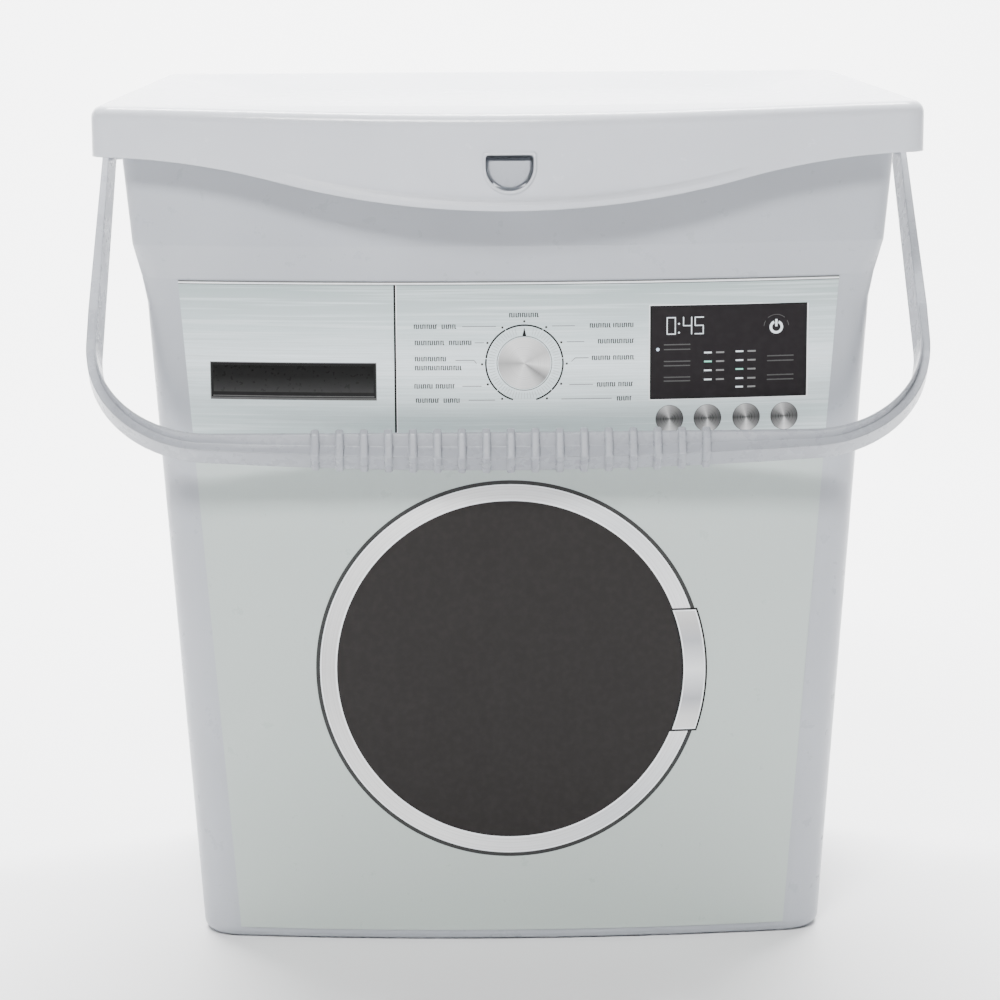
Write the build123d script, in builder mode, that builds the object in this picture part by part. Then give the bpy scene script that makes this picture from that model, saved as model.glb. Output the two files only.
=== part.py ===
"""Laundry powder box: a tapered tub with a hinged lid, a press latch and a swinging bail.

Millimetres. X is to the right, Y to the back, Z up. The origin is on the underside of the base,
midway between the lid's front corners and its back edge.
"""

import os
from math import cos, radians, sin, sqrt

from build123d import *

os.makedirs("parts", exist_ok=True)

# ---------------------------------------------------------------- driving dimensions
total_height = 316.6
wall = 2.2
skin = 2.0  # lid wall

# Tub: a trapezium in plan, wider at the front, with a bowed front
back_ratio = 0.92  # back width over front width
base_thickness = 2.6
foot_radius = 4.2

# Lid
lid_half_front = 151.5
lid_half_back = 139.3
lid_front = -95.5
lid_back = 95.5
lid_bow = 16.3
lid_corner = 9.0
skirt_side = 18.3
skirt_back = 16.2  # shorter, so that it clears the tub as the lid opens
skirt_back_depth = 7.0
skirt_centre = 37.0
skirt_turn_x = 85.0  # where the skirt's edge turns from hollow to round
skirt_turn_rise = 10.7
skirt_flat = 9.5  # straight run of the edge at each corner
front_dip = 4.6
dip_start = -90.0
top_edge_radius = 4.5
recess_depth = 5.0
recess_top_inset = 11.0
recess_floor_inset = 34.0
recess_floor_corner = 12.0
recess_top_corner = 14.0
lip_half_width = 88.0
lip_steps = [(3.8, 0.8), (3.2, 1.5), (2.4, 2.0)]  # height and how far it stands proud

# Locating ring under the lid, inside the tub's rim
ring_gap = 1.0
ring_thickness = 1.8
ring_bottom = 303.8
ring_back = 79.5
ring_corner = 5.0

# Window in the skirt and the tongue that shows in it
window_half_width = 8.6
window_top = 299.5
window_height = 12.9
window_corner = 1.2
window_side = 0.34  # share of the height where the sides start to curve
window_rim = 1.0
window_rim_proud = 0.5
window_wall = 1.0
tongue_gap_top = 1.4
tongue_gap = 0.45
tongue_thickness = 2.2
tongue_setback = 0.3
tongue_half_width = 6.0
tongue_root_y = -105.6
tongue_root_z = 283.0
tongue_root_radius = 1.3
ledge_gap = 0.3
ledge_depth = 8.0
ledge_height = 5.0
tongue_arm_top = 5.0  # below the window's top
tongue_slope = 1.9
tongue_slope_depth = 0.9

# Lid hinge
hinge_y = 92.0
hinge_z = 305.0
hinge_x = 68.0
pin_radius = 2.0
pin_clearance = 0.08
pin_chamfer = 0.3
lug_radius = 5.0
lug_thickness = 4.0
knuckle_length = 14.0
knuckle_side_gap = 0.4
knuckle_radius = 4.4
slot_side_gap = 1.0
slot_top_gap = 1.0
web_above = 4.0  # how far the lugs' webs reach over and under the axis
web_below = 16.0

# Bail handle
pivot_z = 293.6
rest_angle = 43.6  # below horizontal, towards the front
bail_inner_half = 151.5  # on the side towards the tub
bail_leg_top = 3.7
bail_leg_bottom = 5.4
bail_draft = 1.6  # how far the inner face leans outwards over the bail's depth
grip_reach = 141.6  # pivot to the grip's inner edge
grip_width = 10.8
grip_end_width = 6.6
bail_bend = 42.0
bail_depth = 11.4
channel_depth = 6.8
channel_lean = 1.4  # how far the channel's inner wall leans outwards at the ends of the grip
channel_sag = 4.0  # and how much more than that in the middle
inner_edge_sag = 0.3
ramp_start = 84.0  # the channel runs out between these distances from the pivot
ramp_end = 122.0
inner_flange = 1.0
outer_flange = 2.0
outer_flange_drop = 3.6
rib_count = 17
rib_pitch = 8.9
rib_width = 3.0
rib_proud = 1.0
rib_rounding = 0.9

# Pivot studs, whose heads sit flush in the bail's eyes
stud_radius = 4.4
stud_neck_radius = 3.2
stud_neck_clearance = 0.06
stud_head_radius = 4.2
stud_head = 1.8
stud_side_gap = 0.4
stud_chamfer = 0.5
boss_radius = 7.0
boss_inner = 127.0
boss_outer = 140.0
stud_inner = 129.0

# Front film
film = 0.3
film_top = 252.5
film_bottom = 4.4
film_half_top = 121.3
film_half_bottom = 103.2

# Tub levels: height, half-width at the front, front corner plane, back plane, corner radius, bow
tub_levels = [
    (0.0, 118.6, -81.6, 75.0, 15.0, 8.8),
    (243.0, 134.4, -83.1, 81.5, 12.8, 13.5),
    (253.0, 136.2, -83.4, 81.9, 12.0, 13.5),
    (265.5, 138.3, -86.4, 83.4, 6.0, 13.5),
    (311.9, 142.3, -89.6, 85.2, 6.0, 13.5),
]


# ---------------------------------------------------------------- outlines
def trapezium(z, half_front, half_back, y_front, y_back, bow, radius):
    """A rounded trapezium with a bowed front, drawn on the level z."""
    with BuildSketch(Plane.XY.offset(z)) as outline:
        with BuildLine():
            ThreePointArc((-half_front, y_front), (0, y_front - bow), (half_front, y_front))
            Polyline(
                (half_front, y_front),
                (half_back, y_back),
                (-half_back, y_back),
                (-half_front, y_front),
            )
        make_face()
        fillet(outline.vertices(), radius)
    return outline.sketch


def tub_outline(level, inset=0.0, forward=0.0):
    """One level of the tub, drawn in by inset, or with its front moved forward."""
    z, half_front, y_front, y_back, radius, bow = level
    return trapezium(
        z,
        half_front - inset,
        half_front * back_ratio - inset,
        y_front + inset - forward,
        y_back - inset,
        bow,
        radius - inset,
    )


def lid_outline(z, inset=0.0, radius=None):
    """The lid's plan on the level z, drawn in by inset."""
    corner = max(lid_corner - inset, 2.0) if radius is None else radius
    return trapezium(
        z,
        lid_half_front - inset,
        lid_half_back - inset,
        lid_front + inset,
        lid_back - inset,
        lid_bow,
        corner,
    )


def at_height(z, low, high):
    """A level of the tub between two of its levels."""
    share = (z - low[0]) / (high[0] - low[0])
    return tuple(a + share * (b - a) for a, b in zip(low, high))


# ---------------------------------------------------------------- tub
cavity_floor = at_height(base_thickness, tub_levels[0], tub_levels[1])
lug_offset = (knuckle_length + lug_thickness) / 2
lug_base_y = tub_levels[-1][3] - wall
ledge_front_y = tongue_root_y + tongue_root_radius + ledge_gap

with BuildPart() as tub:
    loft(sections=[tub_outline(level) for level in tub_levels], ruled=True)
    fillet(tub.faces().sort_by(Axis.Z)[0].edges(), foot_radius)
    # Hinge lugs on the back of the collar
    for x in (-hinge_x, hinge_x):
        for offset_x in (-lug_offset, lug_offset):
            with BuildSketch(Plane.YZ.offset(x + offset_x)):
                with Locations((hinge_y, hinge_z)):
                    Circle(lug_radius)
                with BuildLine():
                    Polyline(
                        (lug_base_y, hinge_z + web_above),
                        (hinge_y + 0.3 * lug_radius, hinge_z + 0.95 * lug_radius),
                        (hinge_y + 0.7 * lug_radius, hinge_z - 0.7 * lug_radius),
                        (lug_base_y, hinge_z - web_below),
                        close=True,
                    )
                make_face()
            extrude(amount=lug_thickness / 2, both=True)
    # Ledge under the root of the latch tongue
    with BuildSketch(Plane.YZ):
        with Locations((ledge_front_y, tongue_root_z)):
            Rectangle(ledge_depth, ledge_height, align=(Align.MIN, Align.CENTER))
    extrude(amount=tongue_half_width + 2, both=True)
    # The space inside, from the floor to the rim
    cavity_levels = [cavity_floor] + tub_levels[1:]
    cavity = [tub_outline(level, wall) for level in cavity_levels]
    loft(sections=cavity, ruled=True, mode=Mode.SUBTRACT)
    # Bosses through the collar that hold the pivot studs in blind bores
    for side in (-1, 1):
        with BuildSketch(Plane.YZ.offset(side * boss_inner)):
            with Locations((0, pivot_z)):
                Circle(boss_radius)
        extrude(amount=side * (boss_outer - boss_inner))
        with BuildSketch(Plane.YZ.offset(side * stud_inner)):
            with Locations((0, pivot_z)):
                Circle(stud_radius)
        extrude(amount=side * (boss_outer - stud_inner), mode=Mode.SUBTRACT)
    # Pin bores through the lugs
    with BuildSketch(Plane.YZ):
        with Locations((hinge_y, hinge_z)):
            Circle(pin_radius)
    extrude(amount=hinge_x + 2 * lug_offset, both=True, mode=Mode.SUBTRACT)

tub.part.label = "tub"
export_step(tub.part, "parts/tub.step")


# ---------------------------------------------------------------- front film
with BuildPart() as front_label:
    film_levels = tub_levels[:3]
    loft(sections=[tub_outline(level, forward=film) for level in film_levels], ruled=True)
    loft(sections=[tub_outline(level) for level in film_levels], ruled=True, mode=Mode.SUBTRACT)
    with BuildSketch(Plane.XZ):
        with BuildLine():
            Polyline(
                (-film_half_bottom, film_bottom),
                (film_half_bottom, film_bottom),
                (film_half_top, film_top),
                (-film_half_top, film_top),
                close=True,
            )
        make_face()
    extrude(amount=150, mode=Mode.INTERSECT)

front_label.part.label = "front_label"
export_step(front_label.part, "parts/front_label.step")


# ---------------------------------------------------------------- lid
skirt_face = lid_front - lid_bow
skirt_side_z = total_height - skirt_side
skirt_centre_z = total_height - skirt_centre
below_lid = skirt_centre_z - 3
tongue_wall_y = skirt_face + window_wall
slot_half = lug_offset + lug_thickness / 2 + slot_side_gap
slot_top = hinge_z + lug_radius + slot_top_gap
recess_slope = (recess_floor_inset - recess_top_inset) / recess_depth


def below_skirt(rise=0.0):
    """The region under the skirt's lower edge, seen from the front and raised by rise."""
    turn_x, turn_z = skirt_turn_x, skirt_centre_z + skirt_turn_rise + rise
    side_x = lid_half_front - skirt_flat
    side_z = skirt_side_z + rise
    far_x = lid_half_front + 10
    floor_z = below_lid - 5
    with BuildSketch(Plane.XZ) as under:
        with BuildLine():
            middle = ThreePointArc(
                (-turn_x, turn_z), (0, skirt_centre_z + rise), (turn_x, turn_z)
            )
            right = TangentArc(middle @ 1, (side_x, side_z), tangent=middle % 1)
            left = TangentArc(middle @ 0, (-side_x, side_z), tangent=(middle % 0) * -1)
            Polyline(
                right @ 1,
                (far_x, side_z),
                (far_x, floor_z),
                (-far_x, floor_z),
                (-far_x, side_z),
                left @ 1,
            )
        make_face()
    return under.sketch


def above_roll(drop=0.0):
    """The region above the lid's top, seen from the side: the front edge rolls downwards."""
    top = total_height - drop
    tip = skirt_face - 3
    back = lid_back + 5
    with BuildSketch(Plane.YZ) as over:
        with BuildLine():
            roll = TangentArc((dip_start, top), (tip, top - front_dip), tangent=(-1, 0))
            Polyline(roll @ 1, (tip, top + 9), (back, top + 9), (back, top), roll @ 0)
        make_face()
    return over.sketch


def recess(drop=0.0, spread=0.0):
    """Floor and mouth of the dished panel, lowered by drop and widened by spread."""
    floor_z = total_height - recess_depth - drop
    mouth_rise = recess_depth + 0.4
    mouth_inset = recess_floor_inset - mouth_rise * recess_slope
    return [
        lid_outline(floor_z, recess_floor_inset - spread, recess_floor_corner),
        lid_outline(floor_z + mouth_rise, mouth_inset - spread, recess_top_corner),
    ]


def d_shape(y, inset=0.0, top_inset=0.0):
    """A D lying on its back, flat on top and round below, drawn on the plane at y."""
    half_width = window_half_width - inset
    top = window_top - top_inset
    side = window_top - window_height * window_side
    bottom = window_top - window_height + inset
    with BuildSketch(Plane.XZ.offset(-y)) as shape:
        with BuildLine():
            ThreePointArc((-half_width, side), (0, bottom), (half_width, side))
            Polyline(
                (half_width, side), (half_width, top), (-half_width, top), (-half_width, side)
            )
        make_face()
        fillet(shape.vertices().sort_by(Axis.Y)[-2:], window_corner)
    return shape.sketch


def front_y(x):
    """The front face of the lid, x from the centre."""
    bow_radius = (lid_half_front**2 + lid_bow**2) / (2 * lid_bow)
    return skirt_face + bow_radius - sqrt(bow_radius**2 - x**2)


# The space under the lid's thin walls
with BuildPart() as lid_hollow:
    extrude(lid_outline(below_lid, skin), amount=total_height - below_lid)
    extrude(above_roll(skin), amount=lid_half_front, both=True, mode=Mode.SUBTRACT)
    loft(sections=recess(skin, 0.5), ruled=True, mode=Mode.SUBTRACT)

# The rolled lip along the middle of the skirt's lower edge
with BuildPart() as lid_lip:
    lip_end = front_y(lip_half_width)
    for lip_height, proud in lip_steps:
        with BuildSketch(Plane.XY.offset(below_lid)):
            with BuildLine():
                ends = (-lip_half_width, lip_end), (lip_half_width, lip_end)
                ThreePointArc(ends[0], (0, skirt_face - proud), ends[1])
                ThreePointArc(ends[0], (0, skirt_face + skin / 2), ends[1])
            make_face()
        lip_block = extrude(amount=total_height - below_lid, mode=Mode.PRIVATE)
        under = extrude(below_skirt(lip_height), amount=150, mode=Mode.PRIVATE)
        add(lip_block & under)

# The locating ring that hangs inside the tub's rim
with BuildPart() as lid_ring:
    rim_level = tub_levels[-1]
    for inset, mode in ((0, Mode.ADD), (ring_thickness, Mode.SUBTRACT)):
        step_in = wall + ring_gap + inset
        ring_outline = trapezium(
            ring_bottom,
            rim_level[1] - step_in,
            rim_level[1] * back_ratio - step_in,
            rim_level[2] + step_in,
            ring_back - inset,
            rim_level[5],
            ring_corner - inset,
        )
        extrude(ring_outline, amount=total_height - 1.4 * skin - ring_bottom, mode=mode)

with BuildPart() as lid:
    extrude(lid_outline(below_lid), amount=total_height - below_lid)
    extrude(above_roll(), amount=lid_half_front + 5, both=True, mode=Mode.SUBTRACT)
    top_edges = lid.faces().filter_by(lambda f: f.normal_at().Z > 0.9).edges()
    outer_edges = top_edges.filter_by(lambda e: abs(e.center().X) + abs(e.center().Y) > lid_back - 4)
    fillet(outer_edges, top_edge_radius)
    loft(sections=recess(), ruled=True, mode=Mode.SUBTRACT)
    add(lid_lip.part)
    # Raised rim round the window
    rim_shape = d_shape(skirt_face + skin / 2, -window_rim, -window_rim)
    extrude(rim_shape, amount=skin / 2 + window_rim_proud)
    # The skirt's lower edge is curved at the front and straight at the sides and back
    extrude(below_skirt(), amount=150, mode=Mode.SUBTRACT)
    with BuildSketch(Plane.XY.offset(below_lid - 1)):
        with Locations((0, lid_back + 5)):
            Rectangle(2 * lid_half_front + 20, lid_back + 5, align=(Align.CENTER, Align.MAX))
    extrude(amount=skirt_side_z - below_lid + 1, mode=Mode.SUBTRACT)
    with BuildSketch(Plane.XY.offset(below_lid)):
        with Locations((0, lid_back - skirt_back_depth)):
            Rectangle(2 * lid_half_front, lid_back, align=(Align.CENTER, Align.MIN))
    extrude(amount=total_height - skirt_back - below_lid, mode=Mode.SUBTRACT)
    add(lid_hollow.part, mode=Mode.SUBTRACT)
    # The window, and a thinner wall behind it that clears the tongue as the lid swings
    extrude(d_shape(skirt_face + 2 * skin), amount=4 * skin, mode=Mode.SUBTRACT)
    with BuildSketch(Plane.XY.offset(below_lid)):
        with Locations((0, tongue_wall_y)):
            Rectangle(2 * window_half_width + 5, 2 * skin, align=(Align.CENTER, Align.MIN))
    extrude(amount=window_top + 3 - below_lid, mode=Mode.SUBTRACT)
    add(lid_ring.part)
    # Hinge: slots for the tub's lugs, then a knuckle in each with a web up to the plate
    for x in (-hinge_x, hinge_x):
        with BuildSketch(Plane.XY.offset(below_lid)):
            with Locations((x, lid_back)):
                Rectangle(2 * slot_half, 3 * skin)
        extrude(amount=slot_top - below_lid, mode=Mode.SUBTRACT)
        with BuildSketch(Plane.YZ.offset(x)):
            with Locations((hinge_y, hinge_z)):
                Circle(knuckle_radius)
            with Locations((hinge_y - knuckle_radius, hinge_z)):
                Rectangle(
                    lid_back - hinge_y + knuckle_radius,
                    total_height - skin / 2 - hinge_z,
                    align=(Align.MIN, Align.MIN),
                )
        extrude(amount=knuckle_length / 2 - knuckle_side_gap, both=True)
    with BuildSketch(Plane.YZ):
        with Locations((hinge_y, hinge_z)):
            Circle(pin_radius + pin_clearance)
    extrude(amount=hinge_x + knuckle_length, both=True, mode=Mode.SUBTRACT)

lid.part.label = "lid"
export_step(lid.part, "parts/lid.step")


# ---------------------------------------------------------------- latch tongue
tongue_face_y = tongue_wall_y + tongue_setback

with BuildPart() as latch_tongue:
    # The D that shows in the window, with a sloped top edge
    extrude(d_shape(tongue_face_y, tongue_gap, tongue_gap_top), amount=-tongue_thickness)
    pad_front = latch_tongue.faces().sort_by(Axis.Y)[0]
    chamfer(pad_front.edges().sort_by(Axis.Z)[-1], length=tongue_slope, length2=tongue_slope_depth)
    # The flexing arm behind it and its rounded root
    with BuildSketch(Plane.YZ):
        with Locations((tongue_root_y, tongue_root_z)):
            Circle(tongue_root_radius)
        with BuildLine():
            Polyline(
                (tongue_face_y + 0.6, tongue_root_z + tongue_arm_top),
                (tongue_face_y + tongue_thickness + 1.4, window_top - tongue_arm_top),
                (tongue_root_y + tongue_root_radius, tongue_root_z),
                (tongue_root_y - tongue_root_radius, tongue_root_z),
                close=True,
            )
        make_face()
    extrude(amount=tongue_half_width, both=True)

latch_tongue.part.label = "latch_tongue"
export_step(latch_tongue.part, "parts/latch_tongue.step")


# ---------------------------------------------------------------- bail handle
lean = radians(rest_angle)
outward = (0, -cos(lean), -sin(lean))  # from the pivot to the grip
facing = (0, -sin(lean), cos(lean))  # square to the bail's plane, away from the tub
pivot = (0, 0, pivot_z)
bail_plane = Plane(origin=pivot, x_dir=(1, 0, 0), z_dir=facing)
leg_start = bail_depth / 2


def bail_face(level, inner=(0.0, 0.0), outer_step=0.0, sag=inner_edge_sag):
    """The U of the bail on one level of its depth.

    Its inner edge moves outwards by inner: at the legs, and at the grip. Its outer edge moves inwards.
    """
    inner_x = bail_inner_half + inner[0]
    inner_y = -(grip_reach + inner[1])
    bend_y = -(grip_reach - bail_bend)
    bend_x = bail_inner_half - bail_bend
    top_x = bail_inner_half + bail_leg_top - outer_step
    outer_x = bail_inner_half + bail_leg_bottom - outer_step
    end_y = -(grip_reach + grip_end_width - outer_step)
    middle_y = -(grip_reach + grip_width - outer_step)
    with BuildSketch(bail_plane.offset(level)) as face:
        with BuildLine():
            Line((inner_x, leg_start), (top_x, leg_start))
            Line((top_x, leg_start), (outer_x, bend_y))
            TangentArc((outer_x, bend_y), (bend_x, end_y), tangent=(0, -1))
            ThreePointArc((bend_x, end_y), (0, middle_y), (-bend_x, end_y))
            TangentArc((-outer_x, bend_y), (-bend_x, end_y), tangent=(0, -1))
            Line((-top_x, leg_start), (-outer_x, bend_y))
            Line((-inner_x, leg_start), (-top_x, leg_start))
            Line((-inner_x, leg_start), (-inner_x, bend_y))
            TangentArc((-inner_x, bend_y), (-bend_x, inner_y), tangent=(0, -1))
            ThreePointArc((-bend_x, inner_y), (0, inner_y - sag), (bend_x, inner_y))
            TangentArc((inner_x, bend_y), (bend_x, inner_y), tangent=(0, -1))
            Line((inner_x, leg_start), (inner_x, bend_y))
        make_face()
    return face.sketch


def channel_face(level, outer_step):
    """The channel on one level: its inner wall leans outwards as it goes down."""
    share = (bail_depth / 2 - level) / channel_depth
    leg_step = bail_draft + inner_flange - 0.4
    grip_step = bail_draft + inner_flange + share * channel_lean
    return bail_face(
        level, (leg_step, grip_step), outer_step, inner_edge_sag + share * channel_sag
    )


def across(x):
    """A plane square to the pivot axis: its x runs out along the bail, its y faces away."""
    return Plane(origin=(x, 0, pivot_z), x_dir=outward, z_dir=(-1, 0, 0))


# The channel of the grip, and the low edge outside it, which both run out towards the legs
bail_top = bail_depth / 2
low_level = bail_top - outer_flange_drop
with BuildPart() as bail_channel:
    deep_level = bail_top - channel_depth
    deep_sections = [channel_face(level, outer_flange) for level in (deep_level, low_level)]
    loft(sections=deep_sections, ruled=True)
    loft(sections=[channel_face(low_level, -2.0), channel_face(bail_top + 0.2, -2.0)], ruled=True)
    with BuildSketch(across(0)):
        with BuildLine():
            Polyline(
                (-bail_depth, -2 * bail_depth),
                (-bail_depth, 2 * bail_depth),
                (ramp_start, 2 * bail_depth),
                (ramp_start, bail_top + 0.2),
                (ramp_end, bail_top - channel_depth),
                (ramp_end, -2 * bail_depth),
                close=True,
            )
        make_face()
    extrude(amount=2 * bail_inner_half, both=True, mode=Mode.SUBTRACT)


def finger_rib(x):
    """A rounded rib that fills the channel at x and stands proud all round."""
    sag = grip_width - grip_end_width
    outer_reach = grip_reach + grip_width - sag * (x / grip_half) ** 2 + rib_proud
    inner_reach = grip_reach + inner_edge_sag - rib_proud
    high = bail_top + rib_proud
    with BuildPart() as rib:
        with BuildSketch(across(x)):
            with BuildLine():
                Polyline(
                    (inner_reach, -high),
                    (outer_reach, -high),
                    (outer_reach, low_level + rib_proud),
                    (inner_reach + 4.0, high),
                    (inner_reach + 1.2, high),
                    close=True,
                )
            make_face()
        extrude(amount=rib_width / 2, both=True)
        fillet(rib.edges(), rib_rounding)
    return rib.part


with BuildPart() as bail_handle:
    loft(
        sections=[bail_face(-bail_top), bail_face(bail_top, (bail_draft, bail_draft))],
        ruled=True,
    )
    # Rounded ends round the pivots
    with BuildSketch(across(0)):
        Circle(bail_top)
        Rectangle(2 * grip_reach, bail_depth, align=(Align.MIN, Align.CENTER))
    extrude(amount=2 * bail_inner_half, both=True, mode=Mode.INTERSECT)
    add(bail_channel.part, mode=Mode.SUBTRACT)
    grip_half = bail_inner_half - bail_bend
    for index in range(rib_count):
        add(finger_rib((index - (rib_count - 1) / 2) * rib_pitch))
    # Eyes for the studs, counterbored from outside
    with BuildSketch(across(0)):
        Circle(stud_neck_radius + stud_neck_clearance)
    extrude(amount=2 * bail_inner_half, both=True, mode=Mode.SUBTRACT)
    for side in (-1, 1):
        with BuildSketch(Plane.YZ.offset(side * (bail_inner_half + bail_leg_top - stud_head))):
            with Locations((0, pivot_z)):
                Circle(stud_head_radius + stud_side_gap)
        extrude(amount=side * 10, mode=Mode.SUBTRACT)

bail_handle.part.label = "bail_handle"
export_step(bail_handle.part, "parts/bail_handle.step")


# ---------------------------------------------------------------- pivot studs and hinge pins
stud_steps = [
    (stud_inner, bail_inner_half - stud_side_gap, stud_radius),
    (
        bail_inner_half - stud_side_gap,
        bail_inner_half + bail_leg_top - stud_head + stud_side_gap,
        stud_neck_radius,
    ),
    (
        bail_inner_half + bail_leg_top - stud_head + stud_side_gap,
        bail_inner_half + bail_leg_top,
        stud_head_radius,
    ),
]

for name, side in (("pivot_stud_left", -1), ("pivot_stud_right", 1)):
    with BuildPart() as pivot_stud:
        for low_x, high_x, radius in stud_steps:
            with BuildSketch(Plane.YZ.offset(side * low_x)):
                with Locations((0, pivot_z)):
                    Circle(radius)
            extrude(amount=side * (high_x - low_x))
        rims = pivot_stud.edges().filter_by(GeomType.CIRCLE).sort_by(Axis.X)
        chamfer(rims[-1 if side > 0 else 0], stud_chamfer)
    pivot_stud.part.label = name
    export_step(pivot_stud.part, f"parts/{name}.step")

pin_half = lug_offset + lug_thickness / 2
for name, x in (("hinge_pin_left", -hinge_x), ("hinge_pin_right", hinge_x)):
    with BuildPart() as hinge_pin:
        with BuildSketch(Plane.YZ.offset(x)):
            with Locations((hinge_y, hinge_z)):
                Circle(pin_radius)
        extrude(amount=pin_half, both=True)
        chamfer(hinge_pin.edges(), pin_chamfer)
    hinge_pin.part.label = name
    export_step(hinge_pin.part, f"parts/{name}.step")
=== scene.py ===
"""Looks of the laundry powder box: moulded plastic, and a printed film on the front."""

import math

import bmesh
import bpy
from mathutils import Matrix, Vector


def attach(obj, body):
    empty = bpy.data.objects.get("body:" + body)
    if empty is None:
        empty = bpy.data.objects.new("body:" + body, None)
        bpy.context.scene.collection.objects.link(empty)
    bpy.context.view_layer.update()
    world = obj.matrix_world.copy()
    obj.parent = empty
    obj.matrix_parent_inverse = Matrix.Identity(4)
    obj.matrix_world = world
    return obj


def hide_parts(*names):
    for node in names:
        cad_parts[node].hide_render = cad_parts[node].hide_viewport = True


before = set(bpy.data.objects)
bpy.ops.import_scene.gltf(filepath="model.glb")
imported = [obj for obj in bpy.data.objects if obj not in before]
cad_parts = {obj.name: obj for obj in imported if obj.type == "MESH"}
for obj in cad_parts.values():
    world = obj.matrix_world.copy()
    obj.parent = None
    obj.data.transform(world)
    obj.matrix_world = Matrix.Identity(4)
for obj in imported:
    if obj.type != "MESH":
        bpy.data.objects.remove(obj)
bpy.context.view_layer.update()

MM = 0.001

# ---------------------------------------------------------------- sizes, in millimetres
# The film lies on the tub's bowed front: height, half-width, corner plane and bow of each level
TUB_FRONT = [(0.0, 118.6, -81.6, 8.8), (243.0, 134.4, -83.1, 13.5), (253.0, 136.2, -83.4, 13.5)]
FILM = 0.3
FILM_BOTTOM, FILM_TOP = 4.4, 252.5
FILM_HALF_BOTTOM, FILM_HALF_TOP = 103.2, 121.3
PANEL_Z = 189.0
INK = 0.03  # height of one printed layer
PAINTED_EDGE_SHADOW, HIGHLIGHT, TOP_SHADE = (0.0, 0.45), (0.5, 1.1), (1.15, 1.4)  # depths below the film's top: a painted shadow along its edge, then a highlight and a shade line

DOOR_X, DOOR_Z = -0.4, 106.1
GRIP_Z = 105.1
GLASS_R, SILVER_R, BLACK_R = 64.7, 71.0, 72.5
GRIP_HALF, GRIP_INNER, GRIP_OUTER = 23.4, 64.5, 73.4
GLASS_BEVEL, SILVER_EDGE = 0.6, 0.5
GRIP_OUTLINE, GRIP_EDGE, GRIP_FACE = -0.35, 0.35, 0.85  # insets of the grip's three layers

DIAL_X, DIAL_Z = 5.3, 222.2
DIAL_R, TICK_IN, TICK_OUT, CAP_R, DOT_R = 14.1, 10.9, 13.2, 9.6, 15.5
ARC_HALF, CAP_GAP, CAP_EDGE, DOT_SIZE = 0.3, 0.3, 0.55, 0.42
POINTER_HALF, POINTER_TAPER, POINTER_FOOT, POINTER_LENGTH = 0.75, 0.93, 9.95, 3.1
ARCS = [(-28.2, 28.2), (29.4, 82.0), (83.2, 134.4), (135.6, 162.5)]
DOT_ANGLES = (-148, -120, -91, -60.5, -31, 0, 31, 60.5, 91, 120, 148)
DIAL_TICKS, TICK_TURN, TICK_GAP = 72, 5, 10  # degrees
THIN_LINE = 0.22

DISPLAY = (51.3, 109.5, 208.1, 242.8)
DRAWER = (-109.8, -49.1, 209.4, 222.2)
SEPARATOR_X = -41.8
BUTTON_X = (58.6, 72.7, 87.1, 101.3)
BUTTON_Z, BUTTON_R, BUTTON_EDGE = 200.7, 5.0, 0.15

MARK_SIZE, MARK_PITCH, MARK_WIDTH = 1.6, 0.78, 0.40  # ticks in place of names
LINK_START, LINK_END, LINK_INSET, LINK_HALF = 0.34, 0.66, 0.13, 0.15
CLOCK_Z, CLOCK_TALL, CLOCK_WIDE, CLOCK_STROKE = 232.2, 6.1, 3.0, 0.36
POWER_X, POWER_Z = 98.0, 234.0

# Grids of the printed pieces
CELL, TALL_CELL, BAND_STEP, BAND_COLUMNS = 3.0, 12, 6.0, 96
RING_CELLS, MIN_RING_CELLS, GRIP_COLUMNS, GRIP_ROWS = 160, 6, 4, 24
DISC_CELLS, WINDOW_CELLS, BUTTON_CELLS, LAMP_CELLS, DOT_CELLS = 24, 48, 16, 6, 4
SHARP_ANGLE = 40  # degrees

# Sockets of the Mix node in its colour mode
MIX_A, MIX_B, MIX_RESULT = 6, 7, 2
POLYPROPYLENE_IOR = 1.49


# ---------------------------------------------------------------- node helpers
def new_material(name):
    """An empty node material with its Principled shader."""
    material = bpy.data.materials.new(name)
    material.use_nodes = True
    shader = material.node_tree.nodes["Principled BSDF"]
    return material, material.node_tree, shader


def noise(tree, scale, stretch=(1, 1, 1), detail=3.0, rough=0.5):
    """A noise on the row's own coordinates, in features per metre."""
    coords = tree.nodes.new("ShaderNodeTexCoord")
    mapping = tree.nodes.new("ShaderNodeMapping")
    mapping.inputs["Scale"].default_value = stretch
    tree.links.new(coords.outputs["Object"], mapping.inputs["Vector"])
    texture = tree.nodes.new("ShaderNodeTexNoise")
    texture.inputs["Scale"].default_value = scale
    texture.inputs["Detail"].default_value = detail
    texture.inputs["Roughness"].default_value = rough
    tree.links.new(mapping.outputs["Vector"], texture.inputs["Vector"])
    return texture.outputs["Fac"]


def ramp(tree, value, stops):
    """A colour ramp: stops are (position, colour) pairs."""
    node = tree.nodes.new("ShaderNodeValToRGB")
    elements = node.color_ramp.elements
    while len(elements) < len(stops):
        elements.new(0.5)
    for element, (position, colour) in zip(elements, stops):
        element.position = position
        element.color = (*colour, 1.0)
    tree.links.new(value, node.inputs["Fac"])
    return node.outputs["Color"]


def grey(value):
    """A neutral colour."""
    return (value, value, value)


def remap(tree, value, low, high, to_low, to_high):
    """Stretches an output from one range to another."""
    node = tree.nodes.new("ShaderNodeMapRange")
    node.inputs["From Min"].default_value = low
    node.inputs["From Max"].default_value = high
    node.inputs["To Min"].default_value = to_low
    node.inputs["To Max"].default_value = to_high
    tree.links.new(value, node.inputs["Value"])
    return node.outputs["Result"]


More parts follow.
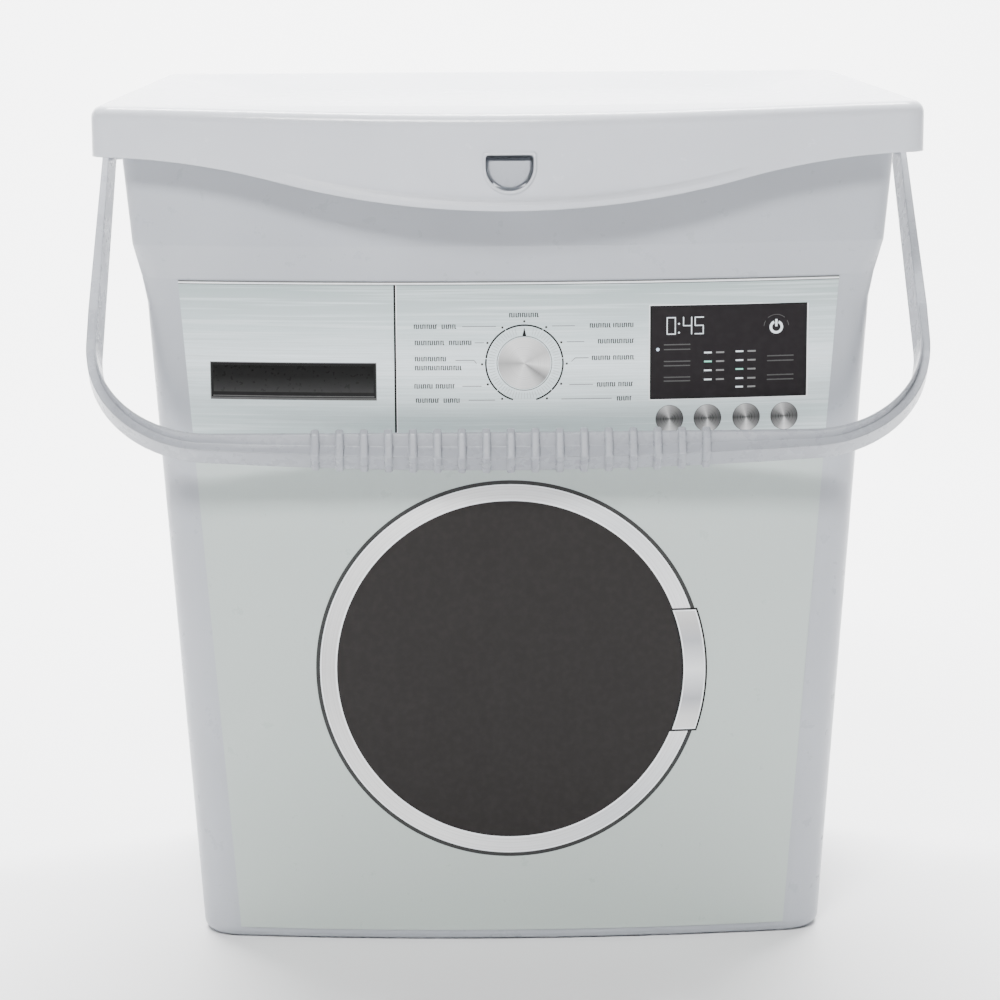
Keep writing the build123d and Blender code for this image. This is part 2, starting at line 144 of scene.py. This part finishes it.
def bump(tree, shader, height, strength, distance, soften=0.0):
    """Fine relief, over edges softened by a small radius."""
    node = tree.nodes.new("ShaderNodeBump")
    if soften:
        edges = tree.nodes.new("ShaderNodeBevel")
        edges.samples = 6
        edges.inputs["Radius"].default_value = soften
        tree.links.new(edges.outputs["Normal"], node.inputs["Normal"])
    node.inputs["Strength"].default_value = strength
    node.inputs["Distance"].default_value = distance
    tree.links.new(height, node.inputs["Height"])
    tree.links.new(node.outputs["Normal"], shader.inputs["Normal"])


def blend_colour(tree, factor, first, second):
    """Mixes two colours by an output: each colour is a value or an output."""
    node = tree.nodes.new("ShaderNodeMix")
    node.data_type = "RGBA"
    tree.links.new(factor, node.inputs["Factor"])
    for socket, colour in ((node.inputs[MIX_A], first), (node.inputs[MIX_B], second)):
        if isinstance(colour, tuple):
            socket.default_value = (*colour, 1.0)
        else:
            tree.links.new(colour, socket)
    return node.outputs[MIX_RESULT]


def height_mm(tree):
    """Height above the base, in millimetres."""
    coords = tree.nodes.new("ShaderNodeTexCoord")
    split = tree.nodes.new("ShaderNodeSeparateXYZ")
    tree.links.new(coords.outputs["Object"], split.inputs["Vector"])
    scale = tree.nodes.new("ShaderNodeMath")
    scale.operation = "MULTIPLY"
    scale.inputs[1].default_value = 1 / MM
    tree.links.new(split.outputs["Z"], scale.inputs[0])
    return scale.outputs[0]


# ---------------------------------------------------------------- materials
def plastic(name, colour, roughness=0.36, soften=0.0007):
    """Satin moulded polypropylene: faint mottling, fine grain and flow marks."""
    material, tree, shader = new_material(name)
    mottle = noise(tree, 22, detail=4)
    flow = noise(tree, 9, stretch=(1, 1, 0.25), detail=2)
    darker = tuple(0.94 * c for c in colour)
    tone = blend_colour(tree, remap(tree, mottle, 0.35, 0.65, 0.0, 1.0), colour, darker)
    tone = blend_colour(tree, remap(tree, flow, 0.4, 0.7, 0.0, 0.35), tone, darker)
    tree.links.new(tone, shader.inputs["Base Color"])
    scuff = noise(tree, 140, detail=6, rough=0.65)
    level = remap(tree, scuff, 0.3, 0.7, roughness - 0.05, roughness + 0.08)
    tree.links.new(level, shader.inputs["Roughness"])
    grain = noise(tree, 2600, detail=2)
    bump(tree, shader, grain, 0.10, 0.00008, soften)
    shader.inputs["IOR"].default_value = POLYPROPYLENE_IOR
    return material


def film_plain(name, low, high):
    """Printed film: a soft vertical fade with a fine dot grain."""
    material, tree, shader = new_material(name)
    height = height_mm(tree)
    share = remap(tree, height, FILM_BOTTOM, PANEL_Z, 0.0, 1.0)
    fade = ramp(tree, share, [(0.0, low), (1.0, high)])
    blotch = noise(tree, 16, detail=3)
    darker = tuple(0.93 * c for c in low)
    tone = blend_colour(tree, remap(tree, blotch, 0.3, 0.7, 0.0, 0.25), fade, darker)
    dots = noise(tree, 1500, detail=1)
    tone = blend_colour(tree, remap(tree, dots, 0.4, 0.7, 0.0, 0.06), tone, grey(0.35))
    tree.links.new(tone, shader.inputs["Base Color"])
    scuff = noise(tree, 90, detail=5, rough=0.7)
    tree.links.new(remap(tree, scuff, 0.3, 0.7, 0.26, 0.40), shader.inputs["Roughness"])
    ripple = noise(tree, 60, detail=2)
    bump(tree, shader, ripple, 0.05, 0.0004)
    return material


def film_brushed(name):
    """Print of horizontally brushed metal, palest across the middle of the panel."""
    material, tree, shader = new_material(name)
    height = height_mm(tree)
    share = remap(tree, height, PANEL_Z, FILM_TOP, 0.0, 1.0)
    dark, pale = (0.42, 0.50, 0.50), (0.84, 0.93, 0.97)
    fade = ramp(tree, share, [(0.0, (0.40, 0.47, 0.47)), (0.22, (0.62, 0.72, 0.73)),
                              (0.52, pale), (0.76, (0.56, 0.65, 0.67)), (1.0, (0.34, 0.42, 0.42))])
    lines = noise(tree, 1.0, stretch=(22, 22, 1500), detail=4, rough=0.7)
    tone = blend_colour(tree, remap(tree, lines, 0.38, 0.66, 0.0, 0.45), fade, dark)
    bright = noise(tree, 1.0, stretch=(14, 14, 900), detail=3)
    tone = blend_colour(tree, remap(tree, bright, 0.52, 0.72, 0.0, 0.5), tone, (0.86, 0.92, 0.95))
    tree.links.new(tone, shader.inputs["Base Color"])
    tree.links.new(remap(tree, lines, 0.3, 0.7, 0.24, 0.42), shader.inputs["Roughness"])
    bump(tree, shader, lines, 0.08, 0.0001)
    return material


def ink(name, colour, roughness=0.32, gloss=0.12):
    """Plain printed ink with a little grain."""
    material, tree, shader = new_material(name)
    speck = noise(tree, 420, detail=2)
    lighter = tuple(min(1.0, c * 1.08 + 0.001) for c in colour)
    tone = blend_colour(tree, remap(tree, speck, 0.4, 0.7, 0.0, 1.0), colour, lighter)
    tree.links.new(tone, shader.inputs["Base Color"])
    scuff = noise(tree, 120, detail=4)
    level = remap(tree, scuff, 0.3, 0.7, roughness - 0.04, roughness + 0.08)
    tree.links.new(level, shader.inputs["Roughness"])
    bump(tree, shader, speck, 0.02, 0.00002)
    shader.inputs["Specular IOR Level"].default_value = gloss
    return material


def fade_ink(name, low_z, high_z, stops):
    """Ink that fades with height, as on the printed drawer and the door's grip."""
    material, tree, shader = new_material(name)
    roughness = 0.3
    share = remap(tree, height_mm(tree), low_z, high_z, 0.0, 1.0)
    tone = ramp(tree, share, stops)
    speck = noise(tree, 700, detail=2)
    tone = blend_colour(tree, remap(tree, speck, 0.4, 0.7, 0.0, 0.004), tone, grey(0.3))
    tree.links.new(tone, shader.inputs["Base Color"])
    level = remap(tree, speck, 0.3, 0.7, roughness - 0.04, roughness + 0.06)
    tree.links.new(level, shader.inputs["Roughness"])
    shader.inputs["Specular IOR Level"].default_value = 0.12
    return material


def conic(name, x, z, stops):
    """Print of a turned metal cap: brightness that changes with the angle about its centre."""
    material, tree, shader = new_material(name)
    coords = tree.nodes.new("ShaderNodeTexCoord")
    mapping = tree.nodes.new("ShaderNodeMapping")
    mapping.inputs["Location"].default_value = (-x * MM, z * MM, 0)
    mapping.inputs["Rotation"].default_value = (math.pi / 2, 0, 0)
    tree.links.new(coords.outputs["Object"], mapping.inputs["Vector"])
    around = tree.nodes.new("ShaderNodeTexGradient")
    around.gradient_type = "RADIAL"
    tree.links.new(mapping.outputs["Vector"], around.inputs["Vector"])
    tone = ramp(tree, around.outputs["Fac"], stops)
    distance = tree.nodes.new("ShaderNodeVectorMath")
    distance.operation = "LENGTH"
    flat = tree.nodes.new("ShaderNodeVectorMath")
    flat.operation = "MULTIPLY"
    flat.inputs[1].default_value = (1, 1, 0)
    tree.links.new(mapping.outputs["Vector"], flat.inputs[0])
    tree.links.new(flat.outputs["Vector"], distance.inputs[0])
    rings = tree.nodes.new("ShaderNodeTexNoise")
    rings.noise_dimensions = "1D"
    rings.inputs["Scale"].default_value = 2600
    rings.inputs["Detail"].default_value = 2
    tree.links.new(distance.outputs["Value"], rings.inputs["W"])
    turned = rings.outputs["Fac"]
    tone = blend_colour(tree, remap(tree, turned, 0.35, 0.7, 0.0, 0.3), tone, grey(0.25))
    tree.links.new(tone, shader.inputs["Base Color"])
    tree.links.new(remap(tree, turned, 0.3, 0.7, 0.22, 0.4), shader.inputs["Roughness"])
    return material


# ---------------------------------------------------------------- the film's surface
def film_y(x, z):
    """The tub's bowed front at (x, z), all in millimetres."""
    low, high = TUB_FRONT[:2] if z < TUB_FRONT[1][0] else TUB_FRONT[1:]
    share = (z - low[0]) / (high[0] - low[0])
    half, corner, bow = (a + share * (b - a) for a, b in zip(low[1:], high[1:]))
    radius = (half**2 + bow**2) / (2 * bow)
    return corner - bow + radius - math.sqrt(radius**2 - x**2)


def on_film(x, z, lift):
    """A point above the tub's front, in metres."""
    return Vector((x, film_y(x, z) - lift, z)) * MM


def film_half(z):
    """Half the film's width at a height."""
    share = (z - FILM_BOTTOM) / (FILM_TOP - FILM_BOTTOM)
    return FILM_HALF_BOTTOM + share * (FILM_HALF_TOP - FILM_HALF_BOTTOM)


# Each patch is (grid function on 0..1 by 0..1, steps along, steps up, closed along)
def steps(length, size=CELL):
    return max(2, round(length / size))


def band(z0, z1):
    """The film's full width between two heights."""

    def place(s, t):
        z = z0 + t * (z1 - z0)
        return (2 * s - 1) * film_half(z), z

    return place, BAND_COLUMNS, steps(z1 - z0, BAND_STEP), False


def rect(x0, x1, z0, z1):
    """An upright rectangle."""

    def place(s, t):
        return x0 + s * (x1 - x0), z0 + t * (z1 - z0)

    return place, steps(x1 - x0), steps(z1 - z0, TALL_CELL), False


def line(x0, z0, x1, z1, width):
    """A straight stroke between two points."""
    length = math.hypot(x1 - x0, z1 - z0)
    across_x, across_z = -(z1 - z0) / length * width, (x1 - x0) / length * width

    def place(s, t):
        return (
            x0 + s * (x1 - x0) + (t - 0.5) * across_x,
            z0 + s * (z1 - z0) + (t - 0.5) * across_z,
        )

    return place, steps(length), 1, False


def ring(x, z, inner, outer, start=0.0, end=360.0):
    """Part of a ring: angles run clockwise from the top, in degrees."""

    def place(s, t):
        angle = math.radians(end + s * (start - end))
        radius = inner + t * (outer - inner)
        return x + radius * math.sin(angle), z + radius * math.cos(angle)

    share = abs(end - start) / 360
    closed = share > 0.999
    fineness = max(0.25, outer / GLASS_R) ** 0.5
    return place, max(MIN_RING_CELLS, round(RING_CELLS * share * fineness)), 1, closed


def disc(x, z, radius, count=DISC_CELLS):
    """A full disc as a square grid pressed into a circle."""

    def place(s, t):
        u, v = 2 * s - 1, 2 * t - 1
        return (
            x + radius * u * math.sqrt(1 - v * v / 2),
            z + radius * v * math.sqrt(1 - u * u / 2),
        )

    return place, count, count, False


def grip_patch(inset):
    """The printed grip of the door: a slice of a ring with level ends."""
    half = GRIP_HALF - inset
    inner, outer = GRIP_INNER + inset, GRIP_OUTER - inset

    def place(s, t):
        z = half * (2 * t - 1)
        near, far = math.sqrt(inner**2 - z * z), math.sqrt(outer**2 - z * z)
        return DOOR_X + near + s * (far - near), GRIP_Z + z

    return place, GRIP_COLUMNS, GRIP_ROWS, False


def printed(name, patches, layer, material, base=FILM - INK):
    """One piece of print: closed thin solids that follow the bowed front."""
    mesh = bpy.data.meshes.new(name)
    bm = bmesh.new()
    top = FILM + layer * INK
    for place, along, up, closed in patches:
        columns = along if closed else along + 1
        sides = []
        for lift in (top, base):
            grid = [
                [bm.verts.new(on_film(*place(i / along, j / up), lift)) for j in range(up + 1)]
                for i in range(columns)
            ]
            sides.append(grid)
        front, back = sides
        for i in range(along):
            k = (i + 1) % columns
            for j in range(up):
                bm.faces.new((front[i][j], front[k][j], front[k][j + 1], front[i][j + 1]))
                bm.faces.new((back[i][j + 1], back[k][j + 1], back[k][j], back[i][j]))
            bm.faces.new((front[k][0], front[i][0], back[i][0], back[k][0]))
            bm.faces.new((front[i][up], front[k][up], back[k][up], back[i][up]))
        if not closed:
            for j in range(up):
                bm.faces.new((front[0][j], front[0][j + 1], back[0][j + 1], back[0][j]))
                near, far = front[along], back[along]
                bm.faces.new((near[j + 1], near[j], far[j], far[j + 1]))
    bmesh.ops.recalc_face_normals(bm, faces=bm.faces)
    bm.to_mesh(mesh)
    bm.free()
    piece = bpy.data.objects.new(name, mesh)
    bpy.context.scene.collection.objects.link(piece)
    mesh.materials.append(material)
    mesh.shade_smooth()
    mesh.set_sharp_from_angle(angle=math.radians(SHARP_ANGLE))
    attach(piece, "tub")
    return piece


# ---------------------------------------------------------------- printed artwork
BLACK = ink("ink_black", grey(0.012))
SOFT_BLACK = ink("ink_soft_black", grey(0.035))
WHITE = ink("ink_white", (0.86, 0.88, 0.90))
GREY = ink("ink_grey", grey(0.10))
FAINT = ink("ink_faint", (0.46, 0.50, 0.52))


def make_film():
    """The film's two sheets, the painted shadow of its top edge, and the highlight and shade lines
    below it.
    """
    lower = film_plain("film_lower", (0.46, 0.52, 0.49), (0.46, 0.52, 0.505))
    base = printed("film_lower_panel", [band(FILM_BOTTOM, PANEL_Z)], 0, lower, base=0.0)
    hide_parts("front_label")
    brushed = film_brushed("film_brushed")
    printed("film_control_panel", [band(PANEL_Z, FILM_TOP)], 0, brushed, base=0.0)
    # The first strip is a painted shadow of the film's top edge, in grey ink.
    for name, (high, low), colour in (
        ("film_painted_edge_shadow", PAINTED_EDGE_SHADOW, GREY),
        ("film_top_highlight", HIGHLIGHT, WHITE),
        ("film_top_shade", TOP_SHADE, GREY),
    ):
        printed(name, [band(FILM_TOP - low, FILM_TOP - high)], 1, colour)


def make_door():
    """The round printed door with its silver ring and grip."""
    glass = ink("door_glass", (0.024, 0.022, 0.0215), roughness=0.34, gloss=0.08)
    silver_stops = [
        (0.0, grey(0.62)), (0.18, grey(0.92)), (0.36, (0.72, 0.74, 0.77)), (0.5, grey(0.95)),
        (0.64, (0.66, 0.68, 0.71)), (0.82, grey(0.93)), (1.0, grey(0.62)),
    ]
    silver = conic("door_silver", DOOR_X, DOOR_Z, silver_stops)
    printed("door_outline", [ring(DOOR_X, DOOR_Z, SILVER_R, BLACK_R)], 1, SOFT_BLACK)
    printed("door_ring", [ring(DOOR_X, DOOR_Z, GLASS_R, SILVER_R)], 1, silver)
    printed("door_ring_bevel", [ring(DOOR_X, DOOR_Z, GLASS_R, GLASS_R + GLASS_BEVEL)], 2, WHITE)
    printed("door_ring_edge", [ring(DOOR_X, DOOR_Z, SILVER_R - SILVER_EDGE, SILVER_R)], 2, WHITE)
    printed("door_window", [disc(DOOR_X, DOOR_Z, GLASS_R, WINDOW_CELLS)], 2, glass)
    grip_stops = [
        (0.0, grey(0.72)), (0.12, grey(0.66)), (0.26, (0.40, 0.41, 0.44)),
        (0.5, (0.78, 0.80, 0.81)), (0.74, (0.42, 0.43, 0.46)), (0.88, grey(0.5)), (1.0, grey(0.62)),
    ]
    grip = fade_ink("door_grip", GRIP_Z - GRIP_HALF, GRIP_Z + GRIP_HALF, grip_stops)
    printed("door_grip_outline", [grip_patch(GRIP_OUTLINE)], 3, BLACK)
    printed("door_grip_edge", [grip_patch(GRIP_EDGE)], 4, WHITE)
    printed("door_grip_face", [grip_patch(GRIP_FACE)], 5, grip)


def make_drawer():
    """The dark drawer mouth, and the gap that parts the panel beside it."""
    x0, x1, z0, z1 = DRAWER
    stops = [(0.0, grey(0.05)), (0.3, grey(0.025)), (0.6, grey(0.008)), (1.0, grey(0.003))]
    printed("drawer_edge", [rect(x0 - 0.3, x1 + 0.3, z0 - 0.9, z1 + 0.3)], 1, GREY)
    printed("drawer_rim", [rect(x0, x1, z0, z1)], 2, BLACK)
    shade = fade_ink("drawer_shade", z0, z1, stops)
    printed("drawer_mouth", [rect(x0 + 0.8, x1 - 0.8, z0 + 2.0, z1 - 0.9)], 3, shade)
    printed("drawer_light", [rect(x0 + 0.6, x1 - 0.6, z0 + 0.3, z0 + 0.7)], 3, GREY)
    top = FILM_TOP - TOP_SHADE[1]
    left, middle, right = SEPARATOR_X - 0.5, SEPARATOR_X + 0.25, SEPARATOR_X + 0.6
    printed("panel_gap", [rect(left, middle, PANEL_Z, top)], 1, BLACK)
    printed("panel_gap_light", [rect(middle, right, PANEL_Z, top)], 1, WHITE)


def make_dial():
    """The broken circle, ticks, cap, pointer and dots of the programme dial."""
    inner, outer = DIAL_R - ARC_HALF, DIAL_R + ARC_HALF
    parts = [ring(DIAL_X, DIAL_Z, inner, outer, *ARCS[0])]
    for start, end in ARCS[1:]:
        parts.append(ring(DIAL_X, DIAL_Z, inner, outer, start, end))
        parts.append(ring(DIAL_X, DIAL_Z, inner, outer, -end, -start))
    printed("dial_scale", parts, 1, BLACK)

    ticks = []
    for step in range(DIAL_TICKS):
        turn = TICK_TURN * step
        if TICK_GAP < turn < 360 - TICK_GAP:
            sine, cosine = math.sin(math.radians(turn)), math.cos(math.radians(turn))
            ticks.append(line(DIAL_X + TICK_IN * sine, DIAL_Z + TICK_IN * cosine,
                              DIAL_X + TICK_OUT * sine, DIAL_Z + TICK_OUT * cosine, THIN_LINE))
    printed("dial_ticks", ticks, 1, FAINT)
    cap_edge = ring(DIAL_X, DIAL_Z, CAP_R + CAP_GAP, CAP_R + CAP_EDGE)
    printed("dial_cap_edge", [cap_edge], 1, GREY)

    stops = [
        (0.0, grey(0.34)), (0.06, grey(0.55)), (0.16, grey(0.80)), (0.28, grey(0.72)),
        (0.42, grey(0.50)), (0.52, grey(0.78)), (0.60, grey(0.20)), (0.68, grey(0.62)),
        (0.80, grey(0.78)), (0.92, grey(0.55)), (1.0, grey(0.34)),
    ]
    cap = conic("dial_cap", DIAL_X, DIAL_Z, stops)
    printed("dial_cap", [disc(DIAL_X, DIAL_Z, CAP_R)], 1, cap)

    def pointer(s, t):
        half = POINTER_HALF * (1 - POINTER_TAPER * t)
        return DIAL_X + (2 * s - 1) * half, DIAL_Z + POINTER_FOOT + POINTER_LENGTH * t

    printed("dial_pointer", [(pointer, 2, 4, False)], 2, BLACK)
    dots = []
    for angle in DOT_ANGLES:
        sine, cosine = math.sin(math.radians(angle)), math.cos(math.radians(angle))
        dots.append(disc(DIAL_X + DOT_R * sine, DIAL_Z + DOT_R * cosine, DOT_SIZE, DOT_CELLS))
    printed("dial_dots", dots, 1, SOFT_BLACK)


def words(x0, x1, z, gaps=()):
    """Rows of plain ticks that take the place of a printed name: gaps are shares of its length."""
    ticks = []
    half = MARK_SIZE / 2
    count = round((x1 - x0) / MARK_PITCH)
    for number in range(count):
        if any(abs(number / count - gap) < 0.6 / count for gap in gaps):
            continue
        x = x0 + number * MARK_PITCH
        ticks.append(rect(x, x + MARK_WIDTH, z - half, z + half))
        if number % 3 != 2:
            level = z + (half - LINK_INSET) * (1 - number % 2 * 2)
            ticks.append(rect(x + LINK_START, x + LINK_END, level - LINK_HALF, level + LINK_HALF))
    return ticks


def make_programmes():
    """Marks beside the dial: each name is (left end, right end, height, gaps)."""
    names = [
        (-35.0, -19.1, 235.9, (0.58,)), (-34.7, -13.3, 229.9, (0.54,)), (-34.7, -22.7, 223.9, ()),
        (-34.7, -17.5, 220.6, ()), (-35.0, -20.3, 213.8, (0.46,)), (-34.5, -17.9, 208.5, (0.55,)),
        (29.2, 45.6, 235.9, (0.48,)), (32.2, 45.1, 230.0, ()), (30.0, 45.7, 223.9, (0.46,)),
        (31.9, 45.4, 214.0, (0.55,)), (39.2, 44.9, 208.7, ()),
    ]
    bars = words(-0.2, 10.8, 240.0)
    for x0, x1, z, gaps in names:
        bars += words(x0, x1, z, gaps)
    printed("programme_bars", bars, 1, BLACK)

    leaders = [
        (-17.4, 235.9, -5.0, 235.9), (-12.8, 229.9, -9.4, 229.9), (-19.9, 223.4, -13.1, 223.4),
        (-13.1, 223.4, -12.2, 222.2), (-17.4, 213.8, -10.4, 213.8), (-15.2, 208.6, -5.5, 208.6),
        (15.4, 235.9, 23.8, 235.9), (20.8, 230.0, 27.2, 230.0), (23.9, 224.0, 28.8, 224.0),
        (22.5, 222.7, 23.9, 224.0), (21.7, 214.1, 30.4, 214.1), (18.8, 208.8, 37.3, 208.8),
    ]
    printed("programme_lines", [line(*ends, THIN_LINE) for ends in leaders], 1, GREY)


SEGMENTS = {
    "top": (0, 2, 1, 2), "middle": (0, 1, 1, 1), "bottom": (0, 0, 1, 0),
    "upper_left": (0, 1, 0, 2), "upper_right": (1, 1, 1, 2),
    "lower_left": (0, 0, 0, 1), "lower_right": (1, 0, 1, 1),
}
DIGITS = {
    "0": ("top", "bottom", "upper_left", "upper_right", "lower_left", "lower_right"),
    "4": ("upper_left", "upper_right", "middle", "lower_right"),
    "5": ("top", "upper_left", "middle", "lower_right", "bottom"),
}


def digit(text, x, z, width, height, stroke):
    """A plain segment digit made of strokes."""
    strokes = []
    for name in DIGITS[text]:
        x0, z0, x1, z1 = SEGMENTS[name]
        pad_x, pad_z = (stroke / 2, 0) if z0 == z1 else (0, stroke / 2)
        strokes.append(line(x + x0 * width - pad_x, z + z0 * height / 2 - pad_z,
                            x + x1 * width + pad_x, z + z1 * height / 2 + pad_z, stroke))
    return strokes


def make_display():
    """The dark screen with its clock, power mark, bars and dashes."""
    x0, x1, z0, z1 = DISPLAY
    screen = ink("display_screen", (0.017, 0.015, 0.0165), roughness=0.34, gloss=0.08)
    glow = ink("display_glow", (0.80, 0.86, 0.90))
    teal = ink("display_teal", (0.30, 0.78, 0.62))
    dim = ink("display_dim", grey(0.075))
    mid = ink("display_mid", grey(0.20))
    blue = ink("display_blue", (0.62, 0.76, 0.95))
    printed("display_halo", [rect(x0 - 0.35, x1 + 0.5, z0 - 0.35, z1 + 0.35)], 1, WHITE)
    printed("display_border", [rect(x0, x1, z0, z1)], 2, BLACK)
    printed("display_screen", [rect(x0 + 0.6, x1 - 0.6, z0 + 0.6, z1 - 0.6)], 3, screen)

    clock = []
    for text, x in (("0", 57.6), ("4", 63.6), ("5", 67.9)):
        clock += digit(text, x, CLOCK_Z, CLOCK_WIDE, CLOCK_TALL, CLOCK_STROKE)
    for share in (0.08, 0.62):
        clock.append(disc(61.95, CLOCK_Z + share * CLOCK_TALL, 0.34, DOT_CELLS))
    printed("display_clock", clock, 4, glow)

    stem = rect(POWER_X - 0.42, POWER_X + 0.42, POWER_Z + 0.2, POWER_Z + 2.9)
    printed("display_power", [ring(POWER_X, POWER_Z, 1.55, 2.5, 24, 336), stem], 4, glow)
    spans = ((-42, 42), (60, 84), (-84, -60))
    halo = [ring(POWER_X, POWER_Z, 4.5, 4.75, start, end) for start, end in spans]
    printed("display_power_arc", halo, 4, dim)
    printed("display_lamp", [disc(54.2, 226.6, 0.62, LAMP_CELLS)], 4, blue)

    pairs = [(56.4, 66.2, z) for z in (228.3, 226.5, 222.1, 220.5, 216.2, 214.8)]
    pairs += [(94.7, 104.6, z) for z in (223.3, 221.5, 216.2, 214.5)]
    printed("display_bars", [rect(a, b, z - 0.22, z + 0.22) for a, b, z in pairs], 4, dim)

    rows = (
        (71.3, (225.1, 221.8, 218.5, 215.1)),
        (83.0, (225.3, 222.0, 218.7, 215.3, 212.1)),
    )
    lit = {221.8, 218.7}
    dashes, marks, on = [], [], []
    for x, heights in rows:
        for z in heights:
            (on if z in lit else dashes).append(rect(x, x + 2.8, z - 0.28, z + 0.28))
            marks.append(rect(x + 4.4, x + 7.4, z - 0.3, z + 0.3))
    printed("display_dashes", dashes, 4, glow)
    printed("display_lit", on, 4, teal)
    printed("display_marks", marks, 4, mid)


def make_buttons():
    """Four printed metal buttons under the display."""
    stops = [
        (0.0, grey(0.04)), (0.08, grey(0.16)), (0.20, grey(0.62)), (0.27, grey(0.30)),
        (0.40, grey(0.10)), (0.5, grey(0.04)), (0.62, grey(0.18)), (0.75, grey(0.80)),
        (0.84, grey(0.26)), (1.0, grey(0.04)),
    ]
    for number, x in enumerate(BUTTON_X, 1):
        edge = disc(x, BUTTON_Z, BUTTON_R + BUTTON_EDGE, BUTTON_CELLS)
        printed(f"button_{number}_edge", [edge], 1, GREY)
        cap = conic(f"button_{number}", x, BUTTON_Z, stops)
        printed(f"button_{number}_cap", [disc(x, BUTTON_Z, BUTTON_R, BUTTON_CELLS)], 2, cap)


# ---------------------------------------------------------------- moulded parts
def dress(node, material):
    """Gives a CAD node its material."""
    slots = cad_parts[node].data.materials
    slots.clear()
    slots.append(material)


def dress_plastic():
    """The moulded plastic of every CAD node but the film."""
    body = plastic("plastic_tub", (0.42, 0.44, 0.48), roughness=0.30)
    lid = plastic("plastic_lid", (0.64, 0.66, 0.71), roughness=0.20, soften=0.0011)
    handle = plastic("plastic_handle", (0.36, 0.375, 0.41), roughness=0.27)
    for node in ("tub", "latch_tongue", "hinge_pin_left", "hinge_pin_right",
                 "pivot_stud_left", "pivot_stud_right"):
        dress(node, body)
    dress("lid", lid)
    dress("bail_handle", handle)


# ---------------------------------------------------------------- stage, in metres
CAMERA_PLACE = (-0.0203, -1.2999, 0.4021)
CAMERA_TURN = (10.85, -0.78, -0.33)  # pitch, yaw and roll in degrees
CAMERA_LENS, CAMERA_SENSOR = 119.8, 36.0  # millimetres
BACKDROP_STEPS = 24
SKY_COLOUR, SKY_STRENGTH = (0.96, 0.98, 1.0, 1), 0.10
# Each light: name, place, target, size and power in watts
LIGHTS = (
    ("over", (0.0, 0.25, 0.95), (0, 0.1, 0.3), (0.8, 0.5), 8.5),
    ("key", (-0.25, -1.45, 1.75), (0, 0, 0.2), (0.6, 0.35), 58),
    ("behind", (0.0, 0.6, 1.9), (0, 1.75, 0.5), (1.6, 0.4), 230),
)


def make_floor():
    """A pale floor that curves up into a backdrop behind the box."""
    material, tree, shader = new_material("floor")
    tone = noise(tree, 3)
    tree.links.new(remap(tree, tone, 0.2, 0.8, 0.55, 0.65), shader.inputs["Roughness"])
    shader.inputs["Base Color"].default_value = (0.90, 0.90, 0.905, 1)
    side, front, start, radius, top = 12.0, -12.0, 0.9, 0.9, 4.0
    profile = [(front, 0.0), (start, 0.0)]
    for step in range(1, BACKDROP_STEPS + 1):
        angle = math.radians(90 * step / BACKDROP_STEPS)
        profile.append((start + radius * math.sin(angle), radius * (1 - math.cos(angle))))
    profile.append((start + radius, top))
    points = [(x, y, z) for y, z in profile for x in (-side, side)]
    faces = [(2 * i, 2 * i + 1, 2 * i + 3, 2 * i + 2) for i in range(len(profile) - 1)]
    mesh = bpy.data.meshes.new("floor")
    mesh.from_pydata(points, [], faces)
    mesh.materials.append(material)
    mesh.shade_smooth()
    floor = bpy.data.objects.new("floor", mesh)
    bpy.context.scene.collection.objects.link(floor)


def area_light(name, place, target, size, power):
    data = bpy.data.lights.new(name, "AREA")
    data.shape = "RECTANGLE"
    data.size, data.size_y = size
    data.energy = power
    light = bpy.data.objects.new(name, data)
    light.location = place
    aim = Vector(target) - Vector(place)
    light.rotation_euler = aim.to_track_quat("-Z", "Y").to_euler()
    bpy.context.scene.collection.objects.link(light)


def make_light():
    """A dim even sky and three soft panels."""
    world = bpy.data.worlds.new("studio")
    world.use_nodes = True
    background = world.node_tree.nodes["Background"]
    background.inputs["Color"].default_value = SKY_COLOUR
    background.inputs["Strength"].default_value = SKY_STRENGTH
    bpy.context.scene.world = world
    for light in LIGHTS:
        area_light(*light)


def make_camera():
    """The camera stands in front, a little to the left, and looks slightly down."""
    data = bpy.data.cameras.new("camera")
    data.lens, data.sensor_width = CAMERA_LENS, CAMERA_SENSOR
    camera = bpy.data.objects.new("camera", data)
    pitch, yaw, roll = (math.radians(angle) for angle in CAMERA_TURN)
    turn = Matrix.Rotation(yaw, 4, "Z") @ Matrix.Rotation(math.pi / 2 - pitch, 4, "X")
    place = Matrix.Translation(CAMERA_PLACE)
    camera.matrix_world = place @ turn @ Matrix.Rotation(roll, 4, "Z")
    bpy.context.scene.collection.objects.link(camera)
    bpy.context.scene.camera = camera


make_camera()
make_light()
make_floor()
dress_plastic()
make_film()
make_door()
make_drawer()
make_dial()
make_programmes()
make_display()
make_buttons()
